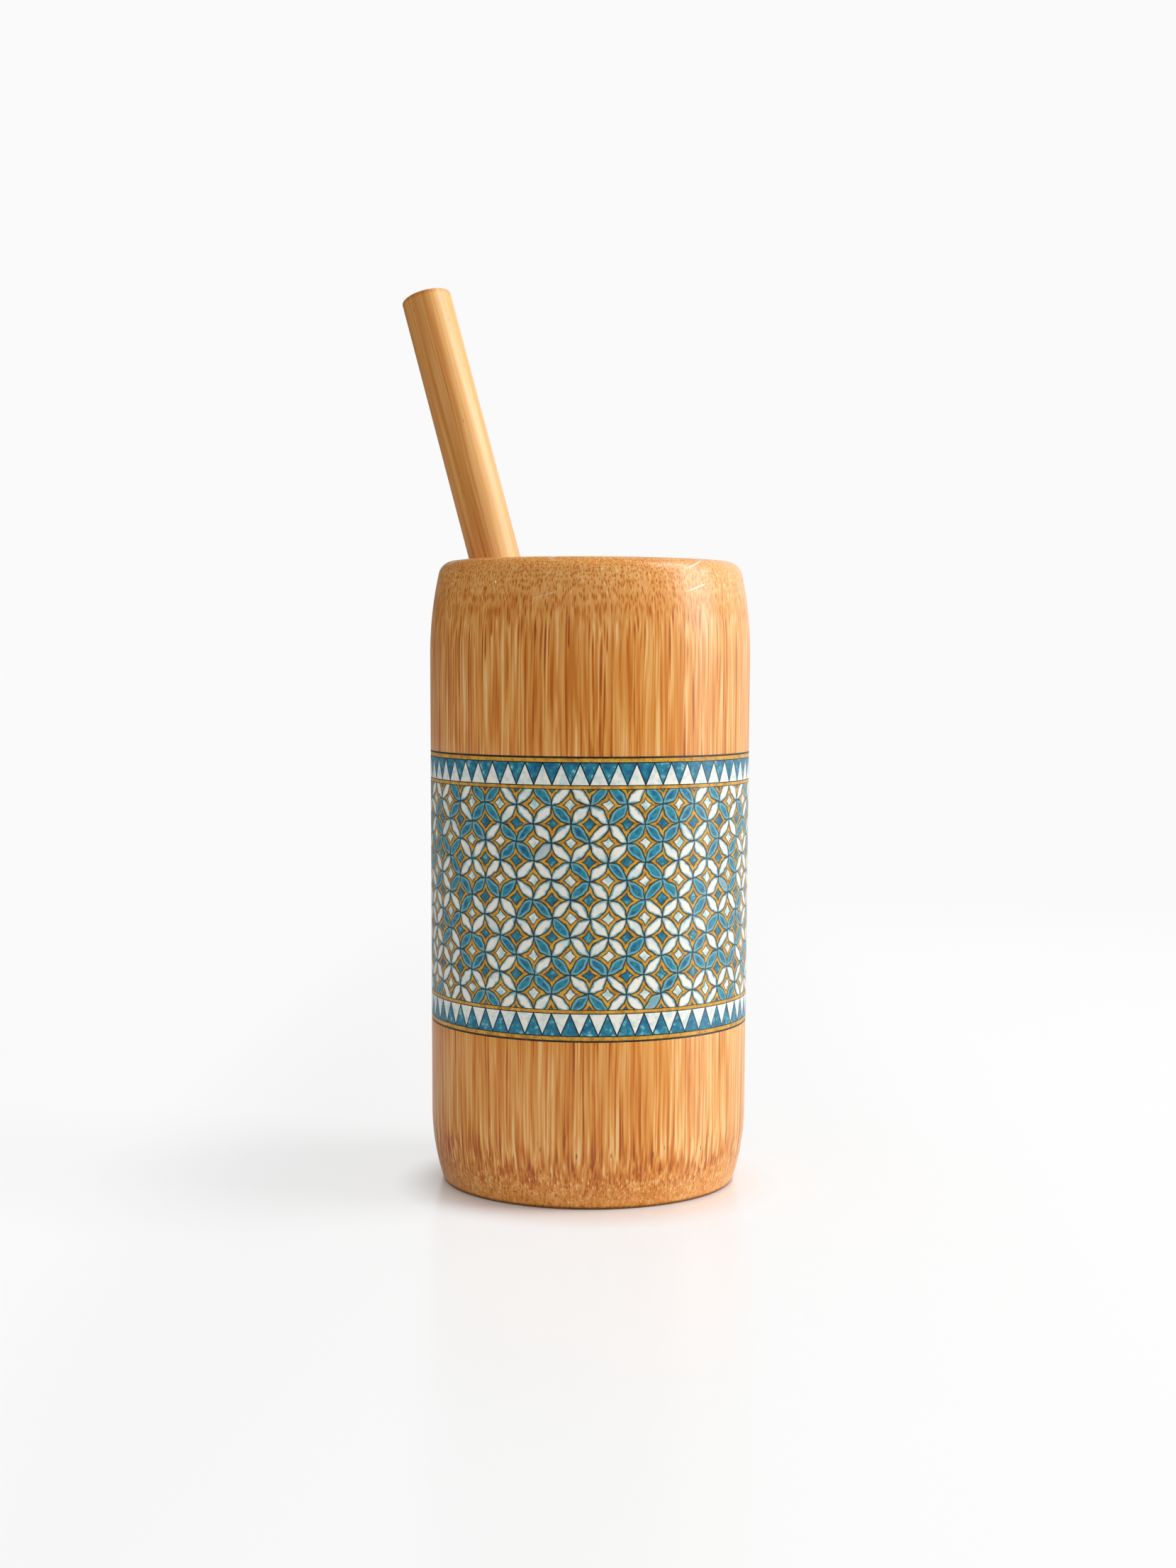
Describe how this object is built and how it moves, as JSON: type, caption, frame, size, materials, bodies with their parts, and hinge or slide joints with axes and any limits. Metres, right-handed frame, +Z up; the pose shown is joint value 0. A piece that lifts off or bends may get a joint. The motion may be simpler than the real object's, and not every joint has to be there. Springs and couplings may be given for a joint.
{
  "type": "bamboo cup with straw",
  "caption": "Turned bamboo cup with a drawn-in shoulder and foot, a printed band flush round its waist and a loose bamboo straw leaning on its lip.",
  "frame": {"origin": "centre of the foot ring, on the plane that the cup stands on", "axes": "+Z up along the cup's own axis, -Y the front of the cup, so the straw leans to -X and back to +Y"},
  "size_m": [0.0778, 0.07, 0.1974],
  "materials": {
    "culm": "golden lacquered bamboo, satin gloss, with fine upright fibres",
    "floor_board": "bamboo strip board under clear varnish",
    "sealant": "food-safe sealant, cream, satin",
    "printed_band": "printed wrap under clear lacquer: cream, gold, teal and blue tile ornament",
    "edge_lacquer": "thin dark brown lacquer line",
    "straw_bamboo": "smooth satin bamboo with fine lengthwise fibres"
  },
  "bodies": {
    "cup": {"cup_wall": "culm", "base_disc": "floor_board", "floor_seal": "sealant", "pattern_band": "printed_band", "upper_edge_line": "edge_lacquer", "lower_edge_line": "edge_lacquer"},
    "straw": {"straw": "straw_bamboo"}
  },
  "joints": [
    {"name": "straw_lift", "type": "slide", "parent": "cup", "child": "straw", "axis": [-0.2582, 0.1992, 0.9453], "range_m": [0, 0.15]}
  ]
}
